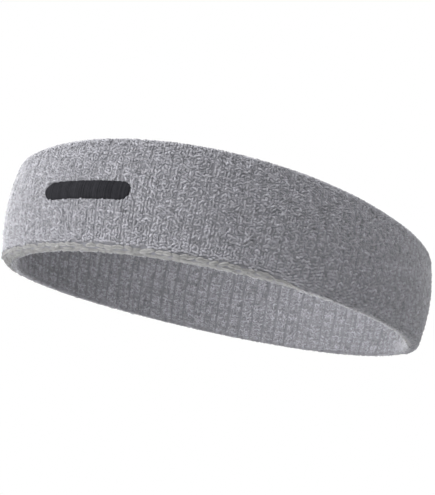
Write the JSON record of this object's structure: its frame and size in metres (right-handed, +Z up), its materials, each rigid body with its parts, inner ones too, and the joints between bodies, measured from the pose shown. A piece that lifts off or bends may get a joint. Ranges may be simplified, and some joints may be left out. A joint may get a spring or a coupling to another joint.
{
  "type": "sports headband",
  "caption": "Terry sweatband for the head: a folded knitted tube with elastic threads, a linked lower rim and a stitched bar.",
  "frame": {"origin": "centre of the head opening in plan, on the plane of the lower rim", "axes": "+Z up as worn, from the lower rim to the folded edge; -Y towards the front of the oval, where the stitched bar is"},
  "size_m": [0.176, 0.2256, 0.0443],
  "materials": {
    "terry_cotton": "heather grey cotton terry loops, matt",
    "ground_knit": "grey nylon base knit, matt",
    "elastic": "covered elastic thread, off-white",
    "linking_thread": "grey polyester seam thread",
    "embroidery_thread": "black satin stitch, slight sheen",
    "stabiliser": "white non-woven",
    "bobbin_thread": "black thread, matt"
  },
  "bodies": {
    "root": {"folded_terry_tube": "terry_cotton", "ground_knit": "ground_knit", "linking_thread": "linking_thread", "elastic_thread_outer_1": "elastic", "elastic_thread_outer_2": "elastic", "elastic_thread_outer_3": "elastic", "elastic_thread_outer_4": "elastic", "elastic_thread_outer_5": "elastic", "elastic_thread_outer_6": "elastic", "elastic_thread_inner_1": "elastic", "elastic_thread_inner_2": "elastic", "elastic_thread_inner_3": "elastic", "elastic_thread_inner_4": "elastic", "elastic_thread_inner_5": "elastic", "elastic_thread_inner_6": "elastic", "emblem_stitching": "embroidery_thread", "emblem_backing": "stabiliser", "emblem_bobbin_stitching": "bobbin_thread"}
  },
  "joints": []
}
